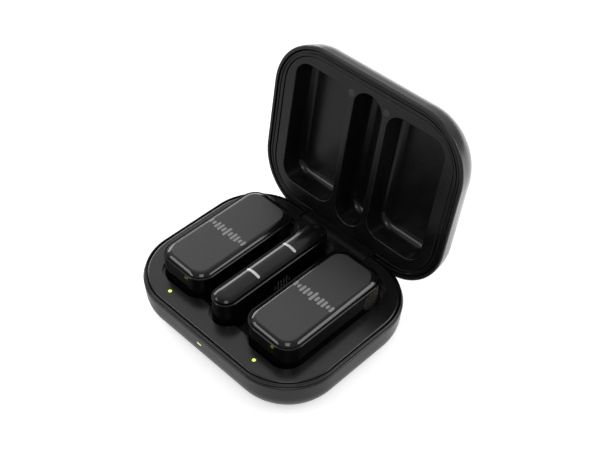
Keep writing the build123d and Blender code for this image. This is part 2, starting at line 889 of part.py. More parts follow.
def make_tx_housing(x):
    body = tx_slab(x, 0, tx_bottom, tx_rim)
    body = fillet(body.faces().sort_by(Axis.Z)[0].edges(), tx_bottom_round)
    body = chamfer(top_outer_edges(body, tx_rim), rim_chamfer)
    body -= tx_slab(x, tx_wall, tx_bottom + tx_wall, tx_rim + past)
    body -= tx_slab(x, tx_rim_width, tx_rim - tx_seam_depth, tx_rim + past)
    body -= mesh_band(x, -past, mesh_depth + fit_gap)
    for end in (-1, 1):
        x_mid = x + end * (lug_spread + lug_thickness) / 2
        x_low, x_high = x_mid - lug_thickness / 2, x_mid + lug_thickness / 2
        body += block(x_low, x_high, clip_y - lug_radius, clip_y + lug_radius, clip_pivot_z,
                      tx_bottom + weld)
        body += rod_x(lug_radius, x_low, x_high, clip_y, clip_pivot_z)
        body -= rod_x(clip_pin_radius, x_low - past, x_high + past, clip_y, clip_pivot_z)
    for pad_x, pad_y in pad_places(x):
        body -= rod_z(pad_radius + bore_gap, tx_bottom - past, tx_bottom + pad_thickness,
                      pad_x, pad_y)
    return body - rod_y(status_led_radius + bore_gap, tx_front - past, tx_front + tx_wall + fit_gap,
                        x + status_led_x, tx_rim - status_led_drop)


def pad_places(x):
    y = tx_front + pogo_inset
    return [(x + i * pogo_pitch, y) for i in (-1, 0, 1)]


def make_contact_pads(x):
    return Compound([rod_z(pad_radius, tx_bottom, tx_bottom + pad_thickness, px, py)
                     for px, py in pad_places(x)])


def make_tx_cover(x):
    # a plate whose edge rolls over into the flat top, with a plug that locates it
    inset = tx_rim_width + tx_seam
    low, shoulder = tx_rim - tx_seam_depth, tx_top - tx_bevel_height
    plug_inset = tx_wall + plug_in_gap
    outline = Pos(x, tx_centre_y, shoulder) * RectangleRounded(
        tx_width - 2 * inset, tx_length - 2 * inset, tx_corner - inset)
    angle = math.degrees(math.atan(tx_bevel_width / tx_bevel_height))
    cover = tx_slab(x, inset, low, shoulder) + extrude(outline, amount=tx_bevel_height, taper=angle)
    cover = fillet(cover.faces().sort_by(Axis.Z)[-1].edges(), tx_crown_round)
    cover = fillet(edges_at(cover, shoulder), tx_shoulder_round)
    return cover + tx_slab(x, plug_inset, low - plug_in_depth, low)


def make_mic_mesh(x):
    return mesh_band(x, fit_gap, mesh_depth)


def make_mic_capsule(x):
    y = tx_back - capsule_inset
    top = tx_board_top + capsule_height
    can = rod_z(capsule_radius, tx_board_top, top, x, y)
    return can - rod_z(capsule_hole_radius, top - pad_thickness, top + past, x, y)


def make_status_lens(x):
    return rod_y(status_led_radius, tx_front - status_led_proud, tx_front + tx_wall,
                 x + status_led_x, tx_rim - status_led_drop)


def make_tx_board(x):
    board = tx_slab(x, tx_wall + tx_board_gap, tx_board_low, tx_board_top)
    radio_can = block(x - 5.0, x + 3.0, tx_front + 3.5, tx_front + 9.5, tx_board_top,
                      tx_board_top + 1.4)
    return board + radio_can


def make_tx_battery(x):
    cell = slab(tx_width - tx_battery_side_room, tx_length - tx_battery_end_room,
                tx_battery_corner, tx_board_top + tx_battery_rise, tx_rim - tx_battery_drop,
                x, tx_centre_y + tx_battery_shift_y)
    return fillet(cell.edges().filter_by(Axis.Z, reverse=True), tx_battery_round)


def make_clip(x):
    half = lug_spread / 2 - clip_side_gap
    clip = slab(clip_width, clip_tail - clip_front, clip_corner, clip_bottom, clip_top,
                x, (clip_front + clip_tail) / 2)
    clip = fillet(clip.faces().sort_by(Axis.Z)[0].edges(), clip_edge_round)
    clip += clip_jaw(x)
    clip += rod_x(clip_barrel_radius, x - half, x + half, clip_y, clip_pivot_z)
    clip += block(x - half, x + half, clip_y - clip_neck_depth / 2, clip_y + clip_neck_depth / 2,
                  clip_top - weld, clip_pivot_z)
    clip -= block(x - clip_spring_room, x + clip_spring_room, clip_y - 2 * past, clip_y + 2 * past,
                  clip_top - weld, tx_bottom)
    for i in range(4):
        groove_y = clip_tail - jaw_length / 2 - thumb_groove_pitch * i
        clip -= block(x - half, x + half, groove_y - thumb_groove_width / 2,
                      groove_y + thumb_groove_width / 2, clip_bottom - past,
                      clip_bottom + thumb_groove_depth)
    return clip - rod_x(clip_pin_radius + pin_clearance, x - clip_width, x + clip_width,
                        clip_y, clip_pivot_z)


def clip_jaw(x):
    # the toothed pad that presses cloth against the transmitter's underside
    top = tx_bottom - jaw_gap
    jaw = slab(clip_width - jaw_length, jaw_length, 0.8, clip_top - weld, top,
               x, clip_front + jaw_inset)
    for i in (-1, 0, 1):
        notch_y = clip_front + jaw_inset + jaw_tooth_pitch * i
        jaw -= block(x - clip_width, x + clip_width, notch_y - jaw_tooth_gap / 2,
                     notch_y + jaw_tooth_gap / 2, top - jaw_tooth_gap, tx_bottom)
    return jaw


def make_clip_pin(x):
    half = lug_spread / 2 + lug_thickness - fit_gap
    return rod_x(clip_pin_radius, x - half, x + half, clip_y, clip_pivot_z)


def make_clip_spring(x):
    return coil(clip_spring_wire, clip_pin_radius + clip_spring_gap, spring_turns, x,
                clip_y, clip_pivot_z)


def make_transmitter(name, x):
    write(f"{name}_transmitter_housing", make_tx_housing(x))
    write(f"{name}_transmitter_cover", make_tx_cover(x))
    write(f"{name}_mic_mesh", make_mic_mesh(x))
    write(f"{name}_mic_capsule", make_mic_capsule(x))
    write(f"{name}_status_lens", make_status_lens(x))
    write(f"{name}_contact_pads", make_contact_pads(x))
    write(f"{name}_transmitter_board", make_tx_board(x))
    write(f"{name}_transmitter_battery", make_tx_battery(x))
    write(f"{name}_clip", make_clip(x))
    write(f"{name}_clip_pin", make_clip_pin(x))
    write(f"{name}_clip_spring", make_clip_spring(x))


# ---------- receiver ----------

def rx_cover_form(low, drop=0.0):
    # a bar with an arched section, carried round both ends
    half = rx_width / 2 - tx_rim_width - tx_seam
    crown, shoulder = rx_crown - drop, rx_shoulder - drop
    rise = crown - shoulder
    arch_radius = (half ** 2 + rise ** 2) / (2 * rise)
    with BuildSketch(Plane.XZ) as section:
        with BuildLine():
            base = Line((0, low), (half, low))
            side = Line(base @ 1, (half, shoulder))
            RadiusArc(side @ 1, (0, crown), -arch_radius)
            Line((0, crown), (0, low))
        make_face()
    reach = rx_length / 2 - rx_width / 2
    half_bar = extrude(section.sketch, amount=reach, both=True)
    bar = half_bar + mirror(half_bar, about=Plane.YZ)
    end = revolve(section.sketch, axis=Axis.Z, revolution_arc=360)
    bar += Pos(0, reach, 0) * end
    bar += Pos(0, -reach, 0) * end
    return Pos(0, rx_centre_y, 0) * bar


def light_bar_form(y):
    seat = rx_rim - tx_seam_depth
    box = slab(light_length, light_width, light_width / 2 - 0.01, seat, rx_crown + past, 0, y)
    return (rx_cover_form(seat) & box) - rx_cover_form(seat - past, light_depth)


def make_rx_cover():
    seat = rx_rim - tx_seam_depth
    inset = rx_wall + plug_in_gap
    cover = rx_cover_form(seat)
    cover += stadium(rx_width - 2 * inset, rx_length - 2 * inset, seat - plug_in_depth, seat,
                     0, rx_centre_y)
    for y in (-light_offset_y, light_offset_y):
        cover -= light_bar_form(y)
    return cover


def make_rx_housing():
    body = stadium(rx_width, rx_length, rx_bottom, rx_rim, 0, rx_centre_y)
    body = fillet(body.faces().sort_by(Axis.Z)[0].edges(), rx_bottom_round)
    body = chamfer(top_outer_edges(body, rx_rim), rim_chamfer)
    body -= stadium(rx_width - 2 * rx_wall, rx_length - 2 * rx_wall, rx_bottom + rx_wall,
                    rx_rim + past, 0, rx_centre_y)
    body -= stadium(rx_width - 2 * tx_rim_width, rx_length - 2 * tx_rim_width,
                    rx_rim - tx_seam_depth, rx_rim + past, 0, rx_centre_y)
    return body - plug_place(rx_bottom - past) * connector(plug_width, plug_height,
                                                           rx_wall + 2 * past)


def plug_place(z):
    return Pos(0, rx_centre_y, z) * Rot(0, 0, 90)


def make_plug_shell():
    length = plug_reach + rx_wall + plug_hold
    outer = connector(plug_width, plug_height, length)
    bore = connector(plug_width - 2 * plug_wall, plug_height - 2 * plug_wall, length + 2 * past)
    return plug_place(rx_bottom - plug_reach) * (outer - Pos(0, 0, -past) * bore)


def make_plug_core():
    length = plug_reach + rx_wall + plug_hold - plug_wall
    core = connector(plug_width - 2 * plug_wall, plug_height - 2 * plug_wall, length)
    slot = Box(plug_slot_width, plug_slot_height, 2 * (plug_reach - inlet_back_wall))
    return plug_place(rx_bottom - plug_reach + plug_wall) * (core - slot)


def make_rx_board():
    low = rx_bottom + rx_wall + rx_board_rise
    board = block(-rx_board_half, rx_board_half, rx_front + rx_board_end_gap,
                  rx_back - rx_board_end_gap, low, rx_rim - rx_board_top_gap)
    can = block(rx_board_half, 1.9, rx_centre_y - 14.0, rx_centre_y - 5.0, low + 1.0, low + 7.5)
    return board + can


# ---------- write every piece ----------

write("base_shell", make_base_shell())
write("rim_ring", make_rim_ring())
write("deck_tray", make_deck_tray())
write("base_magnets", make_base_magnets())
write("case_cells", make_case_cells())
write("case_board", make_case_board())
write("board_screws", make_board_screws())
write("receiver_socket", make_receiver_socket())
write("usb_c_inlet", make_usb_c_inlet())
write("led_strip", make_led_strip())
write("front_led_lens", make_front_led_lens())
write("hinge_bracket", make_hinge_bracket())
write("bracket_screws", make_bracket_screws())
write("hinge_pin", make_hinge_pin())
for side_name, side_sign in sides.items():
    write(f"{side_name}_pogo_pins", make_pogo_pins(side_sign))
    write(f"{side_name}_deck_led", make_deck_led(side_sign))
    make_transmitter(side_name, side_sign * tx_offset_x)

write("lid_shell", open_lid(make_lid_shell()))
write("lid_frame", open_lid(make_lid_frame()))
write("lid_liner", open_lid(make_lid_liner()))
write("lid_magnets", open_lid(make_lid_magnets()))
write("magnet_caps", open_lid(make_magnet_caps()))
write("hinge_tongue", open_lid(make_hinge_tongue()))
write("hinge_spring", open_lid(make_hinge_spring()))

write("receiver_housing", make_rx_housing())
write("receiver_cover", make_rx_cover())
write("front_light_bar", light_bar_form(-light_offset_y))
write("rear_light_bar", light_bar_form(light_offset_y))
write("receiver_plug_shell", make_plug_shell())
write("receiver_plug_core", make_plug_core())
write("receiver_board", make_rx_board())
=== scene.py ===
# Open charging case with two clip-on transmitters and a plug-in receiver.
# Everything is in metres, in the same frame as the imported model: the case stands on z = 0.
import bpy
import math
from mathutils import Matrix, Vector


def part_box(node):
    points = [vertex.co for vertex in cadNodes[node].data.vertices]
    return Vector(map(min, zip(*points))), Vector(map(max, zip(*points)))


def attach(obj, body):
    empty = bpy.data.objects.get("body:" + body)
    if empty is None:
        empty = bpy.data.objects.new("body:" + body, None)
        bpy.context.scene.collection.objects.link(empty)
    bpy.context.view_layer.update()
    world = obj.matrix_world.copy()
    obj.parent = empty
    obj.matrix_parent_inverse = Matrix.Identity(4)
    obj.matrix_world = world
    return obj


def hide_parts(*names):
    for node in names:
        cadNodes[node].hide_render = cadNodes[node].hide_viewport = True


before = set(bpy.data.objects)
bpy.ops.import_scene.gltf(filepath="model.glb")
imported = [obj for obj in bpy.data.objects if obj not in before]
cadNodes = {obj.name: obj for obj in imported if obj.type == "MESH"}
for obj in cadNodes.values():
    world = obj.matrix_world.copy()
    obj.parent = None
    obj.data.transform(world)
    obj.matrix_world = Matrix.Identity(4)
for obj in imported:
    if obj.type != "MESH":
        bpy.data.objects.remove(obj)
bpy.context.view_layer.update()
mm = 0.001
print("frame loaded with", len(cadNodes), "parts")


# small node helpers: every finish below is built from these few

def newFinish(name):
    finish = bpy.data.materials.new(name)
    finish.use_nodes = True
    tree = finish.node_tree
    tree.nodes.clear()
    output = tree.nodes.new("ShaderNodeOutputMaterial")
    shader = tree.nodes.new("ShaderNodeBsdfPrincipled")
    tree.links.new(shader.outputs["BSDF"], output.inputs["Surface"])
    place = tree.nodes.new("ShaderNodeTexCoord").outputs["Object"]
    return finish, tree, shader, place


def stretched(tree, place, scale):
    mapping = tree.nodes.new("ShaderNodeMapping")
    mapping.inputs["Scale"].default_value = scale
    tree.links.new(place, mapping.inputs["Vector"])
    return mapping.outputs["Vector"]


def noiseAt(tree, place, grainSize, detail=3.0, rough=0.5):
    noise = tree.nodes.new("ShaderNodeTexNoise")
    noise.inputs["Scale"].default_value = 1.0 / grainSize
    noise.inputs["Detail"].default_value = detail
    noise.inputs["Roughness"].default_value = rough
    tree.links.new(place, noise.inputs["Vector"])
    return noise.outputs["Fac"]


def cellsAt(tree, place, cellSize, feature="F1"):
    cells = tree.nodes.new("ShaderNodeTexVoronoi")
    cells.feature = feature
    cells.inputs["Scale"].default_value = 1.0 / cellSize
    tree.links.new(place, cells.inputs["Vector"])
    return cells.outputs["Distance"]


def spread(tree, source, fromLow, fromHigh, low, high):
    remap = tree.nodes.new("ShaderNodeMapRange")
    remap.inputs["From Min"].default_value = fromLow
    remap.inputs["From Max"].default_value = fromHigh
    remap.inputs["To Min"].default_value = low
    remap.inputs["To Max"].default_value = high
    tree.links.new(source, remap.inputs["Value"])
    return remap.outputs["Result"]


def between(tree, factor, colourA, colourB):
    mix = tree.nodes.new("ShaderNodeMix")
    mix.data_type = "RGBA"
    tree.links.new(factor, mix.inputs[0])
    for socket, colour in ((mix.inputs[6], colourA), (mix.inputs[7], colourB)):
        if isinstance(colour, tuple):
            socket.default_value = (*colour, 1.0)
        else:
            tree.links.new(colour, socket)
    return mix.outputs[2]


def product(tree, a, b, kind="MULTIPLY"):
    sums = tree.nodes.new("ShaderNodeMath")
    sums.operation = kind
    for socket, value in ((sums.inputs[0], a), (sums.inputs[1], b)):
        if isinstance(value, float):
            socket.default_value = value
        else:
            tree.links.new(value, socket)
    return sums.outputs[0]


def relief(tree, shader, height, strength, depth):
    bump = tree.nodes.new("ShaderNodeBump")
    bump.inputs["Strength"].default_value = strength
    bump.inputs["Distance"].default_value = depth
    tree.links.new(height, bump.inputs["Height"])
    tree.links.new(bump.outputs["Normal"], shader.inputs["Normal"])


# moulded and lacquered plastics; cloud, grain and depth are sizes in metres, level is the shine

mouldedLooks = {
    "softShell": dict(dark=(0.0055, 0.0055, 0.0058), pale=(0.0085, 0.0085, 0.009), cloud=0.012,
                      rough=(0.22, 0.28), grain=0.00022, strength=0.025, depth=0.00002, level=0.5),
    "rimBlack": dict(dark=(0.003, 0.003, 0.0032), pale=(0.005, 0.005, 0.0053), cloud=0.009,
                     rough=(0.13, 0.19), grain=0.00018, strength=0.02, depth=0.00001, level=0.4),
    "deckBlack": dict(dark=(0.0045, 0.0045, 0.0048), pale=(0.0075, 0.0075, 0.008), cloud=0.010,
                      rough=(0.20, 0.26), grain=0.00025, strength=0.03, depth=0.00002, level=0.5),
    "liningBlack": dict(dark=(0.0045, 0.0045, 0.0048), pale=(0.0075, 0.0075, 0.008), cloud=0.010,
                        rough=(0.22, 0.28), grain=0.00020, strength=0.03, depth=0.00002, level=0.4),
    "tongueBlack": dict(dark=(0.0035, 0.0035, 0.0037), pale=(0.006, 0.006, 0.0063), cloud=0.006,
                        rough=(0.40, 0.50), grain=0.00020, strength=0.04, depth=0.00002, level=0.12),
    "capBlack": dict(dark=(0.016, 0.016, 0.017), pale=(0.024, 0.024, 0.025), cloud=0.003,
                     rough=(0.26, 0.34), grain=0.00016, strength=0.08, depth=0.00001, level=0.5),
    "clipBlack": dict(dark=(0.010, 0.010, 0.0105), pale=(0.016, 0.016, 0.0165), cloud=0.006,
                      rough=(0.34, 0.46), grain=0.00020, strength=0.12, depth=0.00002, level=0.5),
    "insulatorBlack": dict(dark=(0.012, 0.012, 0.012), pale=(0.020, 0.020, 0.021), cloud=0.004,
                           rough=(0.40, 0.55), grain=0.00015, strength=0.12, depth=0.00001, level=0.5),
}


def mouldedPlastic(name, look):
    finish, tree, shader, place = newFinish(name)
    cloud = noiseAt(tree, place, look["cloud"], 4.0, 0.6)
    shade = between(tree, spread(tree, cloud, 0.35, 0.65, 0.0, 1.0), look["dark"], look["pale"])
    tree.links.new(shade, shader.inputs["Base Color"])
    handled = noiseAt(tree, place, look["cloud"] * 0.4, 5.0, 0.65)
    tree.links.new(spread(tree, handled, 0.3, 0.7, *look["rough"]), shader.inputs["Roughness"])
    pits = cellsAt(tree, place, look["grain"])
    fine = noiseAt(tree, place, look["grain"] * 0.6, 2.0, 0.5)
    relief(tree, shader, product(tree, pits, fine, "ADD"), look["strength"], look["depth"])
    shader.inputs["Specular IOR Level"].default_value = look["level"]
    return finish


# polished plastics: smudged in the gloss, with hairline scratches that run along the piece

glossGrain = dict(smudgeStretch=(1.0, 0.45, 1.0), scratchStretch=(1.0, 0.06, 1.0), strength=0.03,
                  depth=0.000004)
glossLooks = {
    "bodyGloss": dict(dark=(0.0015, 0.0015, 0.0016), pale=(0.0024, 0.0024, 0.0026), rough=(0.10, 0.16),
                      smudge=0.006, scratch=0.00005, level=0.3),
    "barGloss": dict(dark=(0.003, 0.003, 0.0032), pale=(0.005, 0.005, 0.0053), rough=(0.09, 0.15),
                     smudge=0.007, scratch=0.00004, level=0.34),
}


def glossPlastic(name, look):
    finish, tree, shader, place = newFinish(name)
    smear = noiseAt(tree, stretched(tree, place, glossGrain["smudgeStretch"]), look["smudge"], 6.0, 0.62)
    tree.links.new(between(tree, smear, look["dark"], look["pale"]), shader.inputs["Base Color"])
    tree.links.new(spread(tree, smear, 0.35, 0.68, *look["rough"]), shader.inputs["Roughness"])
    alongPiece = stretched(tree, place, glossGrain["scratchStretch"])
    hairlines = noiseAt(tree, alongPiece, look["scratch"], 2.0, 0.5)
    relief(tree, shader, hairlines, glossGrain["strength"], glossGrain["depth"])
    shader.inputs["Specular IOR Level"].default_value = look["level"]
    return finish


# the transmitter's cover: satin charcoal on the flat face, polished on the bevel round it

coverLook = dict(faceDark=(0.026, 0.026, 0.027), facePale=(0.031, 0.031, 0.032),
                 edgeColour=(0.004, 0.004, 0.0043), faceRough=(0.30, 0.38), edgeRough=0.11,
                 faceTop=23.25 * mm, edgeBand=0.10 * mm, cloud=0.008, grain=0.00013, strength=0.06,
                 depth=0.00001)


def coverFinish(name):
    finish, tree, shader, place = newFinish(name)
    cloud = noiseAt(tree, place, coverLook["cloud"], 4.0, 0.6)
    split = tree.nodes.new("ShaderNodeSeparateXYZ")
    tree.links.new(place, split.inputs[0])
    top = coverLook["faceTop"]
    onFace = spread(tree, split.outputs["Z"], top - coverLook["edgeBand"], top, 0.0, 1.0)
    face = between(tree, cloud, coverLook["faceDark"], coverLook["facePale"])
    tree.links.new(between(tree, onFace, coverLook["edgeColour"], face), shader.inputs["Base Color"])
    faceRough = spread(tree, cloud, 0.3, 0.7, *coverLook["faceRough"])
    easing = product(tree, product(tree, faceRough, -coverLook["edgeRough"], "ADD"), onFace)
    tree.links.new(product(tree, easing, coverLook["edgeRough"], "ADD"), shader.inputs["Roughness"])
    grain = noiseAt(tree, place, coverLook["grain"], 2.0, 0.5)
    relief(tree, shader, product(tree, grain, onFace), coverLook["strength"], coverLook["depth"])
    return finish


# metals: worn in patches, and brushed along the axis with the smallest stretch

metalGrain = dict(brushed=0.00012, worn=0.0025, strength=0.10, depth=0.000006)
metalLooks = {
    "nickelPlate": dict(dark=(0.50, 0.49, 0.46), pale=(0.66, 0.65, 0.61),
                        rough=(0.16, 0.30), stretch=(1, 1, 1)),
    "stampedSteel": dict(dark=(0.45, 0.45, 0.46), pale=(0.62, 0.62, 0.63),
                         rough=(0.22, 0.36), stretch=(1, 1, 0.08)),
    "bracketSteel": dict(dark=(0.36, 0.36, 0.37), pale=(0.50, 0.50, 0.51),
                         rough=(0.28, 0.42), stretch=(0.08, 1, 1)),
    "screwSteel": dict(dark=(0.10, 0.10, 0.105), pale=(0.20, 0.20, 0.21),
                       rough=(0.30, 0.45), stretch=(1, 1, 1)),
    "springWire": dict(dark=(0.38, 0.38, 0.39), pale=(0.55, 0.55, 0.56),
                       rough=(0.20, 0.34), stretch=(1, 0.3, 0.3)),
    "goldPlate": dict(dark=(0.72, 0.50, 0.20), pale=(0.90, 0.68, 0.32),
                      rough=(0.14, 0.28), stretch=(1, 1, 1)),
    "bronzeWire": dict(dark=(0.036, 0.031, 0.025), pale=(0.085, 0.074, 0.060),
                       rough=(0.34, 0.5), stretch=(1, 1, 1)),
}


def metal(name, look):
    finish, tree, shader, place = newFinish(name)
    brushed = noiseAt(tree, stretched(tree, place, look["stretch"]), metalGrain["brushed"], 4.0, 0.6)
    worn = noiseAt(tree, place, metalGrain["worn"], 5.0, 0.6)
    tree.links.new(between(tree, worn, look["dark"], look["pale"]), shader.inputs["Base Color"])
    tree.links.new(spread(tree, product(tree, worn, brushed), 0.1, 0.45, *look["rough"]),
                   shader.inputs["Roughness"])
    relief(tree, shader, brushed, metalGrain["strength"], metalGrain["depth"])
    shader.inputs["Metallic"].default_value = 1.0
    return finish


# lights: a lit lens glows unevenly, in two mottled shades

lensGrain = dict(rough=(0.22, 0.38), strength=0.06, depth=0.00001)
lightLooks = {
    "limeLens": dict(core=(0.60, 0.98, 0.09), edge=(0.42, 0.80, 0.05), glow=1.15, cell=0.0006),
    "frontLens": dict(core=(0.66, 0.78, 0.24), edge=(0.42, 0.52, 0.14), glow=0.95, cell=0.0006),
    "amberLens": dict(core=(0.22, 0.18, 0.008), edge=(0.08, 0.065, 0.003), glow=0.35, cell=0.0004),
    "whiteDiffuser": dict(core=(0.52, 0.52, 0.52), edge=(0.42, 0.42, 0.42), glow=0.22, cell=0.0008),
}


def litLens(name, look):
    finish, tree, shader, place = newFinish(name)
    mottle = noiseAt(tree, place, look["cell"], 3.0, 0.55)
    glow = between(tree, spread(tree, mottle, 0.3, 0.7, 0.0, 1.0), look["edge"], look["core"])
    tree.links.new(glow, shader.inputs["Base Color"])
    tree.links.new(glow, shader.inputs["Emission Color"])
    shader.inputs["Emission Strength"].default_value = look["glow"]
    tree.links.new(spread(tree, mottle, 0.3, 0.7, *lensGrain["rough"]), shader.inputs["Roughness"])
    relief(tree, shader, mottle, lensGrain["strength"], lensGrain["depth"])
    return finish


# inside parts: green boards with copper lanes, and foil pouches round the cells

boardLook = dict(scale=420.0, laneGap=0.035, mask=(0.012, 0.060, 0.032), maskPale=(0.018, 0.085, 0.045),
                 lane=(0.035, 0.140, 0.075), cloud=0.003, rough=(0.26, 0.42), strength=0.15, depth=0.00002)


def boardFinish(name):
    finish, tree, shader, place = newFinish(name)
    lanes = tree.nodes.new("ShaderNodeTexBrick")
    lanes.inputs["Scale"].default_value = boardLook["scale"]
    lanes.inputs["Mortar Size"].default_value = boardLook["laneGap"]
    lanes.inputs["Color1"].default_value = (*boardLook["mask"], 1.0)
    lanes.inputs["Color2"].default_value = (*boardLook["maskPale"], 1.0)
    lanes.inputs["Mortar"].default_value = (*boardLook["lane"], 1.0)
    tree.links.new(place, lanes.inputs["Vector"])
    tree.links.new(lanes.outputs["Color"], shader.inputs["Base Color"])
    gloss = noiseAt(tree, place, boardLook["cloud"], 4.0, 0.6)
    tree.links.new(spread(tree, gloss, 0.3, 0.7, *boardLook["rough"]), shader.inputs["Roughness"])
    relief(tree, shader, lanes.outputs["Fac"], boardLook["strength"], boardLook["depth"])
    return finish


foilLook = dict(dark=(0.24, 0.25, 0.27), pale=(0.40, 0.41, 0.43), crinkle=0.0022, cloud=0.005,
                rough=(0.30, 0.48), strength=0.20, depth=0.00006, metallic=0.55)


def foilFinish(name):
    finish, tree, shader, place = newFinish(name)
    crinkle = cellsAt(tree, place, foilLook["crinkle"], "SMOOTH_F1")
    haze = noiseAt(tree, place, foilLook["cloud"], 4.0, 0.6)
    tree.links.new(between(tree, haze, foilLook["dark"], foilLook["pale"]), shader.inputs["Base Color"])
    tree.links.new(spread(tree, haze, 0.3, 0.7, *foilLook["rough"]), shader.inputs["Roughness"])
    relief(tree, shader, product(tree, crinkle, haze, "ADD"), foilLook["strength"], foilLook["depth"])
    shader.inputs["Metallic"].default_value = foilLook["metallic"]
    return finish


# printed ink of the level bars

inkGrain = dict(fleck=0.0003, rough=(0.42, 0.58), strength=0.08, depth=0.000006)
inkLooks = {
    "paleInk": dict(dark=(0.20, 0.20, 0.205), pale=(0.26, 0.26, 0.265)),
    "dimInk": dict(dark=(0.10, 0.10, 0.103), pale=(0.14, 0.14, 0.143)),
}


def printedInk(name, look):
    finish, tree, shader, place = newFinish(name)
    flecks = noiseAt(tree, place, inkGrain["fleck"], 3.0, 0.6)
    tree.links.new(between(tree, flecks, look["dark"], look["pale"]), shader.inputs["Base Color"])
    tree.links.new(spread(tree, flecks, 0.3, 0.7, *inkGrain["rough"]), shader.inputs["Roughness"])
    relief(tree, shader, flecks, inkGrain["strength"], inkGrain["depth"])
    return finish


finishes = {name: mouldedPlastic(name, look) for name, look in mouldedLooks.items()}
finishes.update({name: glossPlastic(name, look) for name, look in glossLooks.items()})
finishes.update({name: metal(name, look) for name, look in metalLooks.items()})
finishes.update({name: litLens(name, look) for name, look in lightLooks.items()})
finishes["coverCharcoal"] = coverFinish("coverCharcoal")
finishes["boardGreen"] = boardFinish("boardGreen")
finishes["pouchFoil"] = foilFinish("pouchFoil")
finishes.update({name: printedInk(name, look) for name, look in inkLooks.items()})
print("finishes made:", len(finishes))

wornBy = {
    "softShell": ["base_shell", "lid_shell"],
    "rimBlack": ["rim_ring", "lid_frame"],
    "deckBlack": ["deck_tray"],
    "liningBlack": ["lid_liner"],
    "tongueBlack": ["hinge_tongue"],
    "capBlack": ["magnet_caps"],
    "nickelPlate": ["base_magnets", "lid_magnets"],
    "pouchFoil": ["case_cells", "left_transmitter_battery", "right_transmitter_battery"],
    "boardGreen": ["case_board", "led_strip", "receiver_board", "left_transmitter_board",
                   "right_transmitter_board"],
    "screwSteel": ["board_screws", "bracket_screws"],
    "stampedSteel": ["receiver_socket", "usb_c_inlet", "receiver_plug_shell", "left_mic_capsule",
                     "right_mic_capsule"],
    "bracketSteel": ["hinge_bracket", "hinge_pin", "left_clip_pin", "right_clip_pin"],
    "springWire": ["hinge_spring", "left_clip_spring", "right_clip_spring"],
    "goldPlate": ["left_pogo_pins", "right_pogo_pins", "left_contact_pads", "right_contact_pads"],
    "limeLens": ["left_deck_led", "right_deck_led"],
    "frontLens": ["front_led_lens"],
    "amberLens": ["left_status_lens", "right_status_lens"],
    "whiteDiffuser": ["front_light_bar", "rear_light_bar"],
    "bodyGloss": ["left_transmitter_housing", "right_transmitter_housing", "receiver_housing"],
    "barGloss": ["receiver_cover"],
    "coverCharcoal": ["left_transmitter_cover", "right_transmitter_cover"],
    "clipBlack": ["left_clip", "right_clip"],
    "insulatorBlack": ["receiver_plug_core"],
    "bronzeWire": ["left_mic_mesh", "right_mic_mesh"],
}
for finishName, wearers in wornBy.items():  # a part without a slot gets one
    for wearer in wearers:
        slots = cadNodes[wearer].material_slots
        if not slots:
            cadNodes[wearer].data.materials.append(finishes[finishName])
        for held in slots:
            held.material = finishes[finishName]
print("parts finished:", sum(len(w) for w in wornBy.values()))


# pieces made here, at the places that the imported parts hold

def middleOf(node):
    low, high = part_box(node)
    return [(a + b) / 2 for a, b in zip(low, high)]


def newPiece(name, points, faces, finishName, body):
    mesh = bpy.data.meshes.new(name)
    mesh.from_pydata(points, [], faces)
    mesh.validate()
    for polygon in mesh.polygons:
        polygon.use_smooth = True
    mesh.materials.append(finishes[finishName])
    piece = bpy.data.objects.new(name, mesh)
    bpy.context.scene.collection.objects.link(piece)
    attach(piece, body)
    return piece


def roundedOutline(halfWidth, halfLength, radius, steps):
    # one closed loop, anticlockwise, with its corners as arcs
    loop = []
    for corner in range(4):
        signX, signY = (1, 1, -1, -1)[corner], (-1, 1, 1, -1)[corner]
        for i in range(steps + 1):
            angle = math.radians(90 * (corner - 1) + 90 * i / steps)
            loop.append((signX * (halfWidth - radius) + radius * math.cos(angle),
                         signY * (halfLength - radius) + radius * math.sin(angle)))
    return loop


def stackLoops(loops):
    # skin between loops of equal length, closed at both ends
    points = [point for loop in loops for point in loop]
    size = len(loops[0])
    faces = [tuple(range(size))[::-1]]
    for level in range(len(loops) - 1):
        start = level * size
        faces += [(start + i, start + (i + 1) % size, start + size + (i + 1) % size, start + size + i)
                  for i in range(size)]
    faces.append(tuple(range(len(points) - size, len(points))))
    return points, faces


def tubeAlong(path, radius, sides, closed=False):
    # a wire along a path; each ring is turned as little as possible from the one before
    count = len(path)
    rings, across = [], None
    for i, point in enumerate(path):
        before = path[i - 1] if i or closed else path[0]
        after = path[(i + 1) % count] if i < count - 1 or closed else path[-1]
        along = (after - before).normalized()
        if across is None:
            across = along.orthogonal()
        across = (across - along * across.dot(along)).normalized()
        upright = along.cross(across)
        rings.append([point + radius * (math.cos(math.tau * k / sides) * across
                                        + math.sin(math.tau * k / sides) * upright)
                      for k in range(sides)])
    points = [tuple(p) for ring in rings for p in ring]
    faces = []
    for i in range(count if closed else count - 1):
        a, b = i * sides, ((i + 1) % count) * sides
        faces += [(a + k, a + (k + 1) % sides, b + (k + 1) % sides, b + k) for k in range(sides)]
    if not closed:
        faces.append(tuple(range(sides))[::-1])
        faces.append(tuple(range(len(points) - sides, len(points))))
    return points, faces


def joined(parts):
    points, faces = [], []
    for partPoints, partFaces in parts:
        shift = len(points)
        points += partPoints
        faces += [tuple(index + shift for index in face) for face in partFaces]
    return points, faces


# top covers of the transmitters: the edge slopes up, steep then shallow, into a slightly crowned face

coverShape = dict(corner=4.55 * mm, smallestCorner=0.2 * mm, cornerEasing=0.6, crown=0.05 * mm,
                  crownRings=6, cornerSteps=14, depth=1.6 * mm)
coverSlopes = [  # start and end tilt in degrees, length, steps
    (90, 50, 0.20 * mm, 4),
    (50, 24, 1.70 * mm, 12),
    (24, 0, 0.34 * mm, 5),
]


